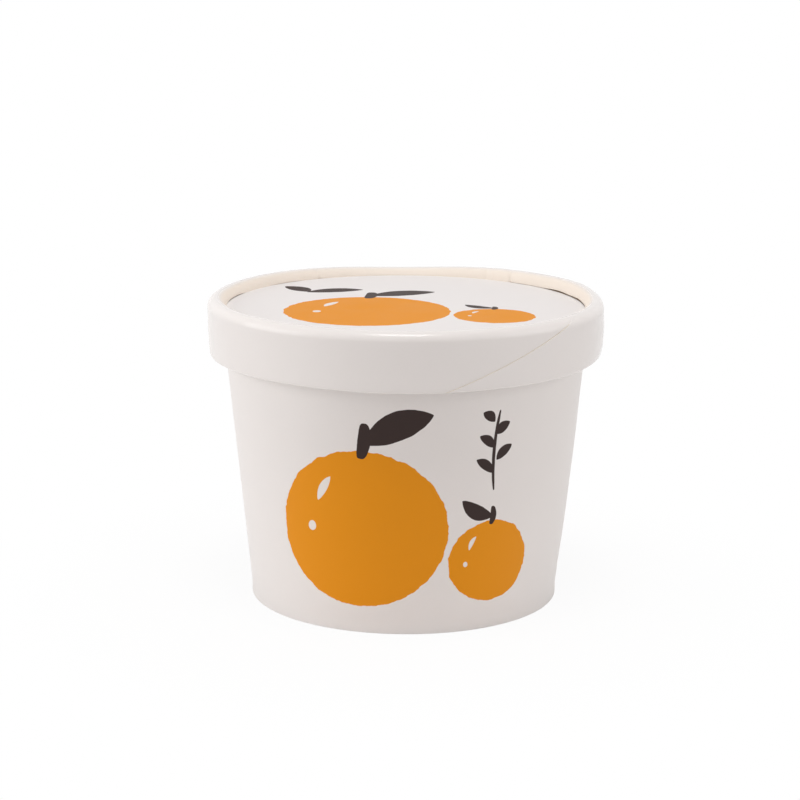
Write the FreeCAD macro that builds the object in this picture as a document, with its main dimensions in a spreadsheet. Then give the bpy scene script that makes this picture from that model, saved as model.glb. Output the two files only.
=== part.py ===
import FreeCAD, Part
import os
import re
import Sketcher

# Paper dessert cup with its press-on paper lid, in millimetres, +Z up.
# The origin is at the middle of the foot, and -Y is the front.
# The cup is a tapered paperboard wall whose lower edge is folded up round the skirt of a
# recessed base disc, and whose upper edge is rolled outwards. The lid is a strip wound into
# a ring with a slanting lap, its upper edge rolled in over a shallow upturned disc.

SIZES = {
    "cup_height": 68.7,         # floor to the top of the rolled rim
    "foot_radius": 36.6,        # outside of the crimped band at the foot
    "wall_taper": 5.97,         # degrees between the wall and the axis
    "cup_board": 0.4,           # thickness of the wall's board
    "crimp_height": 2.6,        # upright band at the foot, where the wall is crimped
    "foot_corner": 0.4,         # rounding of the folded lower edge
    "rim_roll_radius": 1.15,    # outside radius of the rolled rim's tube
    "roll_gap": 0.15,           # between the roll's free edge and the wall
    "fit_gap": 0.05,            # glue line between glued layers
    "base_recess": 5.0,         # floor to the underside of the base disc
    "base_board": 0.4,          # thickness of the base disc and its skirt
    "base_corner": 0.8,         # outside bend from the base disc to its skirt
    "fold_gap": 0.2,            # from the turned-up edge to the bend of the base
    "wall_lap_step": 0.3,       # how far the side seam's flap stands proud
    "wall_lap_span": 80.0,      # degrees over which that flap eases into the wall
    "wall_seam_angle": 95.0,    # degrees from +X to the flap's cut edge, at the back
    "lid_clearance": 0.15,      # between the rolled rim and the lid's hem
    "seat_gap": 0.2,            # between the rolled rim and the lid's disc
    "lid_height": 13.4,         # hem to the top of the bead
    "lid_board": 0.4,           # thickness of the lid's strip
    "lid_flare": 2.5,           # degrees by which the lid widens upwards
    "hem_height": 1.6,          # turned-in lower edge of the strip
    "bead_radius": 2.15,        # outside radius of the strip's rolled-in upper edge
    "bead_leg": 0.3,            # straight end of the roll above the disc
    "disc_board": 0.4,          # thickness of the lid's disc
    "disc_corner": 0.7,         # outside bend from the disc to its flange
    "flange_rise": 0.5,         # how far the flange goes above the bead's centre
    "lid_lap_step": 0.25,       # how far the lap's cut edge stands proud
    "lid_lap_span": 50.0,       # degrees from the seam's middle to the lap's inner end
    "lid_lap_lead": 30.0,       # degrees from the seam's middle to its lower end
    "lid_lap_over": 15.0,       # degrees by which the lap goes past the bead's top
    "lid_seam_angle": -56.3,    # degrees from +X to the seam's middle, at the front right
    "lid_seam_slope": 23.4,     # degrees by which the seam rises to the right
}

ALIAS = re.compile(r"\b[a-z]+(?:_[a-z]+)+\b")


def bound(text):
    """Writes a size's name as its cell in the sheet."""
    return ALIAS.sub(lambda name: "Sizes." + name.group(0), text)


# Levels and radii that follow from the sizes, as expressions of the sheet's names.
ROLL_HEIGHT = "(cup_height - rim_roll_radius)"
ROLL_RADIUS = (
    "(foot_radius - cup_board + (cup_height - rim_roll_radius - crimp_height)"
    " * tan(wall_taper) + rim_roll_radius / cos(wall_taper))"
)
ROLL_INSIDE = "(rim_roll_radius - cup_board)"
ROLL_END = (
    "(180deg - wall_taper * 1deg"
    " + acos((rim_roll_radius - cup_board - roll_gap) / rim_roll_radius))"
)
WALL_BEND = "(crimp_height - cup_board * tan(wall_taper / 2))"
LEG_RADIUS = "(foot_radius - 2 * cup_board - base_board - 2 * fit_gap)"
FOLD_TOP = "(base_recess + base_board - base_corner - fold_gap)"
SKIRT_RADIUS = "(foot_radius - cup_board - fit_gap)"
BASE_BEND = "(base_recess + base_board - base_corner)"

HEM_RADIUS = f"({ROLL_RADIUS} + rim_roll_radius + lid_clearance)"
RING_RADIUS = f"({HEM_RADIUS} + 2 * lid_board)"
DISC_UNDER = "(cup_height + seat_gap)"
DISC_TOP = "(cup_height + seat_gap + disc_board)"
BEAD_HEIGHT = f"({DISC_TOP} + bead_leg)"
LID_TOP = f"({BEAD_HEIGHT} + bead_radius)"
HEM_BOTTOM = f"({LID_TOP} - lid_height)"
BEAD_CENTRE = (
    f"({RING_RADIUS} + ({BEAD_HEIGHT} - {HEM_BOTTOM} - lid_board) * tan(lid_flare)"
    " - bead_radius / cos(lid_flare))"
)
BEAD_INSIDE = "(bead_radius - lid_board)"
FLANGE_RADIUS = (
    f"({BEAD_CENTRE} + sqrt({BEAD_INSIDE} * {BEAD_INSIDE} - flange_rise * flange_rise)"
    " - fit_gap)"
)
FLANGE_TOP = f"({BEAD_HEIGHT} + flange_rise)"


class Outline:
    """A closed outline in the X-Z half plane whose corners are bound to the sheet."""

    def __init__(self, body, name, x, z):
        plane = next(f for f in body.Origin.OriginFeatures if f.Role == "XZ_Plane")
        self.sketch = body.newObject("Sketcher::SketchObject", name)
        self.sketch.AttachmentSupport = [(plane, "")]
        self.sketch.MapMode = "FlatFace"
        self.first = (x, z)
        self.here = (x, z)
        self.ends = []

    def number(self, text):
        """The value that an expression of the sheet's names has now."""
        found = self.sketch.evalExpression(bound(text))
        return float(getattr(found, "Value", found))

    def at(self, corner):
        """The point of the sketch that a pair of expressions gives."""
        return FreeCAD.Vector(self.number(corner[0]), self.number(corner[1]), 0)

    def line(self, x, z):
        """Draws a straight side to the next corner."""
        self.sketch.addGeometry(Part.LineSegment(self.at(self.here), self.at((x, z))), False)
        self.ends.append((1, 2))
        self.here = (x, z)

    def arc(self, centre_x, centre_z, x, z, clockwise=False):
        """Draws a round side to the next corner, about a centre."""
        centre = self.at((centre_x, centre_z))
        start = self.at(self.here) - centre
        end = self.at((x, z)) - centre
        turns = (end, start) if clockwise else (start, end)
        angles = [FreeCAD.Vector(1, 0, 0).getAngle(v) * (1 if v.y >= 0 else -1) for v in turns]
        circle = Part.Circle(centre, FreeCAD.Vector(0, 0, 1), start.Length)
        side = self.sketch.addGeometry(Part.ArcOfCircle(circle, *angles), False)
        chord = end - start
        if abs(chord.x) > abs(chord.y):
            self.hold("DistanceY", side, 3, centre_z)
        else:
            self.hold("DistanceX", side, 3, centre_x)
        self.ends.append((2, 1) if clockwise else (1, 2))
        self.here = (x, z)

    def hold(self, kind, side, point, text):
        """Ties one coordinate of a point to an expression."""
        if text == "0":
            axis = -2 if kind == "DistanceX" else -1
            self.sketch.addConstraint(Sketcher.Constraint("PointOnObject", side, point, axis))
            return
        number = self.number(text)
        made = self.sketch.addConstraint(
            Sketcher.Constraint(kind, -1, 1, side, point, number)
        )
        name = f"{kind.lower()}_{side}_{point}"
        self.sketch.renameConstraint(made, name)
        self.sketch.setExpression("Constraints." + name, bound(text))

    def close(self, corners):
        """Joins the sides end to end and ties every corner to its expressions."""
        count = len(self.ends)
        for side, (_, end) in enumerate(self.ends):
            after = (side + 1) % count
            self.sketch.addConstraint(
                Sketcher.Constraint("Coincident", side, end, after, self.ends[after][0])
            )
            self.hold("DistanceX", side, end, corners[side][0])
            self.hold("DistanceY", side, end, corners[side][1])


def draw(body, name, start, sides):
    """Draws a closed outline from its first corner and its list of sides.

    A side with two expressions is straight and ends at that corner. A side with four turns
    about the centre that its first two give, and a fifth item makes it turn clockwise.
    """
    outline = Outline(body, name, *start)
    corners = []
    for side in sides:
        if len(side) == 2:
            outline.line(*side)
            corners.append(side)
        else:
            outline.arc(*side)
            corners.append(side[2:4])
    outline.close(corners)
    return outline.sketch


def turned(doc, name, start, sides, span=None):
    """A body made by turning an outline about the axis, all round or over a span."""
    body = doc.addObject("PartDesign::Body", name)
    sketch = draw(body, name + "_outline", start, sides)
    turn = body.newObject("PartDesign::Revolution", name + "_turn")
    turn.Profile = sketch
    turn.ReferenceAxis = (sketch, ["V_Axis"])
    turn.Angle = 360
    if span:
        turn.setExpression("Angle", bound(span))
    return body


def around(radius, height, size, angle):
    """The corner at an angle on a circle, as a pair of expressions."""
    return (f"{radius} + {size} * cos({angle})", f"{height} + {size} * sin({angle})")


def wall_sheet(doc):
    """The cup's wall: folded foot, tapered side and rolled rim, one board all the way."""
    inside = around(ROLL_RADIUS, ROLL_HEIGHT, ROLL_INSIDE, "(180 - wall_taper)")
    outside = around(ROLL_RADIUS, ROLL_HEIGHT, "rim_roll_radius", "(180 - wall_taper)")
    end_inside = around(ROLL_RADIUS, ROLL_HEIGHT, ROLL_INSIDE, ROLL_END)
    end_outside = around(ROLL_RADIUS, ROLL_HEIGHT, "rim_roll_radius", ROLL_END)
    start = (LEG_RADIUS, FOLD_TOP)
    leg_corner = f"{LEG_RADIUS} + foot_corner"
    sides = [
        (LEG_RADIUS, "foot_corner"),
        (leg_corner, "foot_corner", leg_corner, "0"),
        ("foot_radius - foot_corner", "0"),
        ("foot_radius - foot_corner", "foot_corner", "foot_radius", "foot_corner"),
        ("foot_radius", WALL_BEND),
        inside,
        (ROLL_RADIUS, ROLL_HEIGHT, *end_inside, True),
        end_outside,
        (ROLL_RADIUS, ROLL_HEIGHT, *outside),
        ("foot_radius - cup_board", "crimp_height"),
        ("foot_radius - cup_board", "cup_board"),
        (f"{LEG_RADIUS} + cup_board", "cup_board"),
        (f"{LEG_RADIUS} + cup_board", FOLD_TOP),
        start,
    ]
    return turned(doc, "wall_sheet", start, sides)


def wall_lap(doc):
    """The flap of the side seam: the same board, moved out over the wall below the rim."""
    top = "(cup_height - 2 * rim_roll_radius - roll_gap)"
    rise = f"({top} - crimp_height) * tan(wall_taper)"
    sides = [
        ("foot_radius", WALL_BEND),
        (f"foot_radius - cup_board + cup_board / cos(wall_taper) + {rise}", top),
        (f"foot_radius - cup_board + {rise}", top),
        ("foot_radius - cup_board", "crimp_height"),
        ("foot_radius - cup_board", "foot_corner"),
        ("foot_radius", "foot_corner"),
    ]
    body = turned(doc, "wall_lap", ("foot_radius", "foot_corner"), sides, "wall_lap_span")
    body.setExpression("Placement.Base.x", bound("wall_lap_step"))
    return body


def cup_wall(doc):
    """The finished wall, its seam turned to the back."""
    fused = doc.addObject("Part::Fuse", "cup_wall")
    fused.Base = wall_sheet(doc)
    fused.Tool = wall_lap(doc)
    fused.Placement.Rotation.Axis = FreeCAD.Vector(0, 0, 1)
    fused.setExpression("Placement.Rotation.Angle", bound("wall_seam_angle"))
    return fused


def cup_base(doc):
    """The recessed base disc with its skirt, which the folded foot holds."""
    bend_radius = f"{SKIRT_RADIUS} - base_corner"
    skirt_inside = f"{SKIRT_RADIUS} - base_board"
    start = ("0", "base_recess + base_board")
    sides = [
        (bend_radius, "base_recess + base_board"),
        (bend_radius, BASE_BEND, SKIRT_RADIUS, BASE_BEND, True),
        (SKIRT_RADIUS, "cup_board + fit_gap"),
        (skirt_inside, "cup_board + fit_gap"),
        (skirt_inside, BASE_BEND),
        (bend_radius, BASE_BEND, bend_radius, "base_recess"),
        ("0", "base_recess"),
        start,
    ]
    return turned(doc, "cup_base", start, sides)


def ring_sheet(doc):
    """The lid's strip: turned-in hem, flared side and edge rolled in over the disc."""
    hem_round = f"{HEM_BOTTOM} + lid_board"
    hem_top = f"{HEM_BOTTOM} + hem_height"
    leg_radius = f"{BEAD_CENTRE} - bead_radius"
    leg_end = f"{DISC_TOP} + fit_gap"
    ring_inside = (
        f"{RING_RADIUS} - lid_board / cos(lid_flare) + (hem_height - lid_board) * tan(lid_flare)"
    )
    start = (HEM_RADIUS, hem_round)
    sides = [
        (f"{HEM_RADIUS} + lid_board", hem_round, RING_RADIUS, hem_round),
        around(BEAD_CENTRE, BEAD_HEIGHT, "bead_radius", "(-lid_flare)"),
        (BEAD_CENTRE, BEAD_HEIGHT, leg_radius, BEAD_HEIGHT),
        (leg_radius, leg_end),
        (f"{leg_radius} + lid_board", leg_end),
        (f"{leg_radius} + lid_board", BEAD_HEIGHT),
        (
            BEAD_CENTRE,
            BEAD_HEIGHT,
            *around(BEAD_CENTRE, BEAD_HEIGHT, BEAD_INSIDE, "(-lid_flare)"),
            True,
        ),
        (ring_inside, hem_top),
        (HEM_RADIUS, hem_top),
        start,
    ]
    return turned(doc, "ring_sheet", start, sides)


def ring_lap(doc):
    """The lap of the lid's strip, cut along the slanting seam."""
    hem_round = f"{HEM_BOTTOM} + lid_board"
    over = "(90 + lid_lap_over)"
    start = (RING_RADIUS, hem_round)
    sides = [
        around(BEAD_CENTRE, BEAD_HEIGHT, "bead_radius", "(-lid_flare)"),
        (BEAD_CENTRE, BEAD_HEIGHT, *around(BEAD_CENTRE, BEAD_HEIGHT, "bead_radius", over)),
        around(BEAD_CENTRE, BEAD_HEIGHT, BEAD_INSIDE, over),
        (
            BEAD_CENTRE,
            BEAD_HEIGHT,
            *around(BEAD_CENTRE, BEAD_HEIGHT, BEAD_INSIDE, "(-lid_flare)"),
            True,
        ),
        (f"{RING_RADIUS} - lid_board / cos(lid_flare)", hem_round),
        start,
    ]
    flap = turned(doc, "ring_lap", start, sides, "lid_lap_lead + lid_lap_span")
    flap.setExpression("Placement.Base.x", bound("lid_lap_step"))
    flap.Placement.Rotation.Axis = FreeCAD.Vector(0, 0, 1)
    flap.setExpression("Placement.Rotation.Angle", bound("-lid_lap_lead"))

    # The trimming block stands on the plane of the slanting cut, above and left of the lap.
    block = doc.addObject("Part::Box", "lap_trim")
    reach = f"2 * {RING_RADIUS}"
    block.setExpression("Length", bound(reach))
    block.setExpression("Width", bound(reach))
    block.setExpression("Height", bound("2 * lid_height"))
    block.Placement.Rotation.Axis = FreeCAD.Vector(1, 0, 0)
    block.setExpression("Placement.Rotation.Angle", bound("lid_seam_slope"))
    block.setExpression("Placement.Base.y", bound(f"-{RING_RADIUS} * cos(lid_seam_slope)"))
    block.setExpression(
        "Placement.Base.z",
        bound(f"{LID_TOP} - lid_height / 2 - {RING_RADIUS} * sin(lid_seam_slope)"),
    )
    trimmed = doc.addObject("Part::Cut", "ring_lap_trimmed")
    trimmed.Base = flap
    trimmed.Tool = block
    return trimmed


def lid_ring(doc):
    """The finished ring, its slanting seam turned to the front right."""
    fused = doc.addObject("Part::Fuse", "lid_ring")
    fused.Base = ring_sheet(doc)
    fused.Tool = ring_lap(doc)
    fused.Placement.Rotation.Axis = FreeCAD.Vector(0, 0, 1)
    fused.setExpression("Placement.Rotation.Angle", bound("lid_seam_angle"))
    return fused


def lid_disc(doc):
    """The lid's sunken disc, whose edge is turned up inside the ring."""
    bend_radius = f"{FLANGE_RADIUS} - disc_corner"
    bend_height = f"{DISC_UNDER} + disc_corner"
    flange_inside = f"{FLANGE_RADIUS} - disc_board"
    start = ("0", DISC_UNDER)
    sides = [
        (bend_radius, DISC_UNDER),
        (bend_radius, bend_height, FLANGE_RADIUS, bend_height),
        (FLANGE_RADIUS, FLANGE_TOP),
        (flange_inside, FLANGE_TOP),
        (flange_inside, bend_height),
        (bend_radius, bend_height, bend_radius, DISC_TOP, True),
        ("0", DISC_TOP),
        start,
    ]
    return turned(doc, "lid_disc", start, sides)


def check(doc, nodes):
    """Stops the build if an object failed or a piece isn't one sound solid."""
    for item in doc.Objects:
        failed = {"Invalid", "Error"} & set(item.State)
        if failed:
            raise RuntimeError(f"{item.Name} is {item.State}")
        if item.TypeId == "Sketcher::SketchObject" and not item.FullyConstrained:
            raise RuntimeError(f"{item.Name} isn't fully constrained")
    for node in nodes:
        shape = node.Shape
        if shape.isNull() or not shape.isValid() or len(shape.Solids) != 1:
            raise RuntimeError(f"{node.Label} isn't one valid solid")
    lap = doc.getObject("ring_lap")
    trimmed = doc.getObject("ring_lap_trimmed")
    if trimmed.Shape.Volume > 0.9 * lap.Shape.Volume:
        raise RuntimeError("the slanting cut of the lid's lap took nothing off")


def main():
    """Builds the document and writes each piece to its own file."""
    doc = FreeCAD.newDocument("dessert_cup")
    sheet = doc.addObject("Spreadsheet::Sheet", "Sizes")
    for row, (alias, value) in enumerate(SIZES.items(), start=1):
        sheet.set(f"A{row}", alias)
        sheet.set(f"B{row}", str(value))
        sheet.setAlias(f"B{row}", alias)
    doc.recompute()

    nodes = [cup_wall(doc), cup_base(doc), lid_ring(doc), lid_disc(doc)]
    doc.recompute()
    check(doc, nodes)

    os.makedirs("parts", exist_ok=True)
    for node in nodes:
        node.Shape.exportStep(os.path.join("parts", node.Label + ".step"))
        box = node.Shape.BoundBox
        print(node.Label, "volume", round(node.Shape.Volume, 2), "top", round(box.ZMax, 3))


main()
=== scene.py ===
"""Paper dessert cup with its press-on lid: the looks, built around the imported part.

Every length is in metres, unless its name ends in _mm or its class counts in
millimetres. The cup's front is -Y, and an azimuth is counted in degrees from the front
towards the right, so the back is 180.
"""

from __future__ import annotations

import logging
import math
from abc import ABC, abstractmethod
from dataclasses import dataclass, replace
from enum import Enum
from functools import cached_property, partialmethod
from typing import Callable, Sequence

import bpy
import numpy as np
from bpy.types import Material, Mesh, MeshPolygon, Node, NodeSocket, NodeTree, Object, bpy_prop_collection
from mathutils import Euler, Matrix, Vector

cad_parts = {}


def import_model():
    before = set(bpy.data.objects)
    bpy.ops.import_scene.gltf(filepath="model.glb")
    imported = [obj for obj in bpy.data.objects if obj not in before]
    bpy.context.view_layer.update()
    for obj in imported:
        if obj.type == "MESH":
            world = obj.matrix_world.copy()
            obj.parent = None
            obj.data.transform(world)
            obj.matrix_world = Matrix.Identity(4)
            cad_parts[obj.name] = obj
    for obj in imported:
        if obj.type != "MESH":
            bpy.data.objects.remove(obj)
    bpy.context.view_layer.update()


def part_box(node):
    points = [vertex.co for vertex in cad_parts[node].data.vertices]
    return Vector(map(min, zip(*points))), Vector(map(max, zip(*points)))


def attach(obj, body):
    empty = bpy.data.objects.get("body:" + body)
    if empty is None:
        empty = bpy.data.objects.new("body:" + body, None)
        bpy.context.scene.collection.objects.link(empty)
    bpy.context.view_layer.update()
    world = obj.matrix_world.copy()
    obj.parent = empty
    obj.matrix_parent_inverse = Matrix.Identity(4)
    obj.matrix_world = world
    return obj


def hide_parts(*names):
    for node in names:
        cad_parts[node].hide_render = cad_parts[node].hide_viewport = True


log = logging.getLogger("dessert_cup")

MM = 0.001
HAIR = 0.01 * MM
WHITE = (1.0, 1.0, 1.0)

Point = tuple[float, float]
Colour = tuple[float, float, float]
FaceTest = Callable[[MeshPolygon], bool]


class Ink(Enum):
    """The inks of the print, as linear colours."""

    MUSTARD = (0.84, 0.305, 0.002)
    BARK = (0.038, 0.022, 0.019)
    PAPER = (0.88, 0.84, 0.80)


class Board(Enum):
    """The faces of a sheet of board, in the order of a piece's material slots."""

    COATED = 0
    LINER = 1
    CUT_EDGE = 2


def smooth(low: float, high: float, values: np.ndarray) -> np.ndarray:
    """Eases from 0 at low to 1 at high."""
    t = np.clip((values - low) / (high - low), 0.0, 1.0)
    return t * t * (3.0 - 2.0 * t)


def span(values: np.ndarray, start: float, full: float, ease: float, end: float) -> np.ndarray:
    """Rises from 0 at start to 1 at full, stays until ease and falls to 0 at end."""
    return smooth(start, full, values) * (1.0 - smooth(ease, end, values))


def turned(azimuth: np.ndarray, middle: float) -> np.ndarray:
    """Degrees from a middle azimuth, from -180 to 180."""
    return (azimuth - middle + 180.0) % 360.0 - 180.0


def directions(azimuth: float) -> tuple[Vector, Vector]:
    """The way out from the axis at an azimuth, and the level way onwards from there."""
    sin, cos = math.sin(math.radians(azimuth)), math.cos(math.radians(azimuth))
    return Vector((sin, -cos, 0.0)), Vector((cos, sin, 0.0))


def about_axis(face: MeshPolygon) -> tuple[float, float]:
    """A face's distance from the axis, and how far it faces outwards, from -1 to 1."""
    x, y = face.center.x, face.center.y
    return math.hypot(x, y), (face.normal.x * x + face.normal.y * y) / max(math.hypot(x, y), 1e-6)


@dataclass(frozen=True)
class Swell:
    """A round rise about an azimuth, in millimetres and degrees."""

    rise: float
    azimuth: float
    width: float

    def along(self, azimuth: np.ndarray) -> np.ndarray:
        """The rise at each azimuth."""
        return self.rise * np.exp(-((turned(azimuth, self.azimuth) / self.width) ** 2))


@dataclass(frozen=True)
class Crease(Swell):
    """A sharp fold at an azimuth, which runs out at its width."""

    width: float = 0.608

    def along(self, azimuth: np.ndarray) -> np.ndarray:
        """The fold's depth at each azimuth."""
        return self.rise * (1.0 - np.clip(np.abs(turned(azimuth, self.azimuth)) / self.width, 0.0, 1.0))


@dataclass(frozen=True)
class Stretch:
    """A rise in millimetres, held between azimuths that are each from 0 to 360."""

    rise: float
    start: float
    full: float
    ease: float
    end: float

    def along(self, azimuth: np.ndarray) -> np.ndarray:
        """The rise at each azimuth."""
        return self.rise * span(azimuth % 360.0, self.start, self.full, self.ease, self.end)


def total(rises: Sequence[Swell | Stretch], azimuth: np.ndarray) -> np.ndarray:
    """The sum of some rises at each azimuth, in metres."""
    return MM * sum(rise.along(azimuth) for rise in rises)


@dataclass(frozen=True)
class Places:
    """The vertices of a mesh about the cup's axis.

    Facing is the outward part of each vertex normal.
    """

    azimuth: np.ndarray
    radius: np.ndarray
    height: np.ndarray
    facing: np.ndarray

    @classmethod
    def of(cls, mesh: Mesh) -> Places:
        """Reads a mesh.

        Args:
            mesh: the mesh to read.

        Returns:
            The places of its vertices.
        """
        points, normals = np.empty(3 * len(mesh.vertices)), np.empty(3 * len(mesh.vertices))
        mesh.vertices.foreach_get("co", points)
        mesh.vertices.foreach_get("normal", normals)
        x, y, z = points.reshape(-1, 3).T
        normal_x, normal_y, _ = normals.reshape(-1, 3).T
        radius = np.hypot(x, y)
        facing = (normal_x * x + normal_y * y) / np.maximum(radius, 1e-9)
        return cls(np.degrees(np.arctan2(x, -y)), radius, z, facing)

    def points(self) -> np.ndarray:
        """The vertices as rows of x, y and z."""
        angle = np.radians(self.azimuth)
        return np.stack([self.radius * np.sin(angle), -self.radius * np.cos(angle), self.height], axis=1)


Field = Callable[[Places], np.ndarray]


def reshape(mesh: Mesh, outward: Field | None = None, upward: Field | None = None) -> None:
    """Moves each vertex outwards and upwards by fields of its place.

    Args:
        mesh: the mesh to reshape.
        outward: gives the move away from the axis.
        upward: gives the move up.
    """
    at = Places.of(mesh)
    radius = at.radius + (outward(at) if outward else 0.0)
    height = at.height + (upward(at) if upward else 0.0)
    mesh.vertices.foreach_set("co", replace(at, radius=radius, height=height).points().ravel())
    mesh.update()


@dataclass
class Workbench:
    """Edit-mode operators as short calls, for one mesh at a time.

    Last is the section's latest point: its distance from the axis and its height.
    """

    name: str
    piece: Object | None = None
    last: Point = (0.0, 0.0)

    def begin(self, r: float, z: float) -> None:
        """Puts down the section's first point.

        Args:
            r: distance from the axis.
            z: height.
        """
        bpy.ops.object.select_all(action="DESELECT")
        bpy.ops.mesh.primitive_circle_add(vertices=3, radius=10 * HAIR, location=(0, 0, 0))
        self.piece = bpy.context.object
        self.piece.name = self.name
        bpy.ops.object.mode_set(mode="EDIT")
        bpy.ops.mesh.select_all(action="SELECT")
        bpy.ops.mesh.merge(type="CENTER")
        bpy.ops.transform.translate(value=(r, 0, z))
        self.last = (r, z)

    def line(self, r: float, z: float, cuts: int = 1) -> None:
        """Extrudes the section straight to a point.

        Args:
            r: the point's distance from the axis.
            z: the point's height.
            cuts: number of equal steps.
        """
        step = ((r - self.last[0]) / cuts, 0, (z - self.last[1]) / cuts)
        for _ in range(cuts):
            bpy.ops.mesh.extrude_region_move(TRANSFORM_OT_translate={"value": step})
        self.last = (r, z)

    def arc(self, centre: Point, sweep: float, steps: int) -> None:
        """Spins the section's end about a centre.

        Args:
            centre: distance from the axis and height of the arc's middle.
            sweep: angle in degrees, positive from outwards to upwards.
            steps: number of chords.
        """
        angle = math.radians(sweep)
        bpy.ops.mesh.spin(steps=steps, angle=angle, center=(centre[0], 0, centre[1]), axis=(0, 1, 0))
        dr, dz = self.last[0] - centre[0], self.last[1] - centre[1]
        cos, sin = math.cos(angle), math.sin(angle)
        self.last = (centre[0] + dr * cos - dz * sin, centre[1] + dr * sin + dz * cos)

    def turn(self, columns: int, closed: bool) -> None:
        """Turns the section about the cup's axis into a closed skin.

        Args:
            columns: number of steps round the axis.
            closed: True if the section's end is joined to its start, False if both are
                on the axis.
        """
        if closed:
            self._weld()
        bpy.ops.mesh.select_all(action="SELECT")
        bpy.ops.mesh.spin(steps=columns, angle=math.tau, center=(0, 0, 0), axis=(0, 0, 1))
        self._weld()
        bpy.ops.mesh.normals_make_consistent(inside=False)

    @staticmethod
    def _weld() -> None:
        """Joins the points that lie on each other."""
        bpy.ops.mesh.select_all(action="SELECT")
        bpy.ops.mesh.remove_doubles(threshold=0.2 * HAIR)

    def cut(self, picked: FaceTest, point: Vector, normal: Vector) -> None:
        """Cuts some faces along a plane and keeps both sides.

        Args:
            picked: says whether a face is cut.
            point: a point of the plane.
            normal: the plane's normal.
        """
        bpy.ops.mesh.select_all(action="DESELECT")
        bpy.ops.object.mode_set(mode="OBJECT")
        for face in self.piece.data.polygons:
            face.select = picked(face)
        bpy.ops.object.mode_set(mode="EDIT")
        bpy.ops.mesh.select_mode(type="FACE")
        bpy.ops.mesh.bisect(plane_co=point, plane_no=normal, threshold=0.1 * HAIR)

    def press(self, outward: Field) -> None:
        """Moves the vertices by a field, out of edit mode and back.

        Args:
            outward: gives the move away from the axis.
        """
        bpy.ops.object.mode_set(mode="OBJECT")
        reshape(self.piece.data, outward=outward)
        bpy.ops.object.mode_set(mode="EDIT")

    def end(self, angle: float) -> Object:
        """Leaves edit mode.

        Args:
            angle: the steepest bend in degrees that is shaded smooth.

        Returns:
            The mesh.
        """
        bpy.ops.mesh.select_mode(type="VERT")
        bpy.ops.object.mode_set(mode="OBJECT")
        bpy.ops.object.shade_smooth_by_angle(angle=math.radians(angle))
        return self.piece


@dataclass
class NodeBench:
    """Places shader nodes in a tree and joins them."""

    tree: NodeTree
    column: int = 0
    spacing: int = 180

    def __post_init__(self) -> None:
        """Empties the tree."""
        self.tree.nodes.clear()

    def add(self, kind: str, settings: dict | None = None, **inputs: object) -> Node:
        """Adds a node.

        Args:
            kind: Blender's node type.
            settings: properties of the node.
            inputs: values or output sockets by input name, with _ for a space, or by
                i and the input's number.

        Returns:
            The new node.
        """
        node = self.tree.nodes.new(kind)
        node.location = (self.column * self.spacing, 0)
        self.column += 1
        for name, value in (settings or {}).items():
            setattr(node, name, value)
        for name, value in inputs.items():
            numbered = name[0] == "i" and name[1:].isdigit()
            socket = node.inputs[int(name[1:]) if numbered else name.replace("_", " ")]
            if isinstance(value, NodeSocket):
                self.tree.links.new(value, socket)
            else:
                socket.default_value = value
        return node

    def math(self, operation: str, a: object, b: object = 0.0) -> NodeSocket:
        """A Math node's result."""
        return self.add("ShaderNodeMath", {"operation": operation}, i0=a, i1=b).outputs[0]

    plus = partialmethod(math, "ADD")
    minus = partialmethod(math, "SUBTRACT")
    times = partialmethod(math, "MULTIPLY")
    over = partialmethod(math, "DIVIDE")

    def group(self, tree: NodeTree, **inputs: object) -> Sequence[NodeSocket]:
        """A node group's outputs."""
        return self.add("ShaderNodeGroup", {"node_tree": tree}, **inputs).outputs

    def hypotenuse(self, a: object, b: object) -> NodeSocket:
        """The length of a flat vector with the parts a and b."""
        return self.math("SQRT", self.plus(self.times(a, a), self.times(b, b)))

    def vector(self, operation: str, a: object, **inputs: object) -> Node:
        """A Vector Math node."""
        return self.add("ShaderNodeVectorMath", {"operation": operation}, i0=a, **inputs)

    def flat_mm(self, place: object) -> NodeSocket:
        """A place seen from above, in millimetres."""
        return self.vector("MULTIPLY", place, i1=(1.0 / MM, 1.0 / MM, 0.0)).outputs[0]

    def parts(self, vector: object) -> Sequence[NodeSocket]:
        """A vector's x, y and z."""
        return self.add("ShaderNodeSeparateXYZ", Vector=vector).outputs

    def noise(self, place: object, scale: float, detail: float, rough: float = 0.5) -> NodeSocket:
        """Soft noise about 0."""
        raw = self.add("ShaderNodeTexNoise", Vector=place, Scale=scale, Detail=detail, Roughness=rough)
        return self.minus(raw.outputs[0], 0.5)

    def ease(self, value: object, low: float, high: float, first: float, last: float) -> NodeSocket:
        """Eases from first, where the value is low, to last, where it is high."""
        ends = {"Value": value, "From_Min": low, "From_Max": high, "To_Min": first, "To_Max": last}
        return self.add("ShaderNodeMapRange", {"interpolation_type": "SMOOTHSTEP"}, **ends).outputs[0]

    def blend(self, factor: object, a: object, b: object) -> NodeSocket:
        """A colour between a and b."""
        return self.add("ShaderNodeMix", {"data_type": "RGBA"}, i0=factor, i6=a, i7=b).outputs[2]


def rgba(colour: Colour) -> tuple[float, ...]:
    """A colour with full alpha."""
    return (*colour, 1.0)


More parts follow.
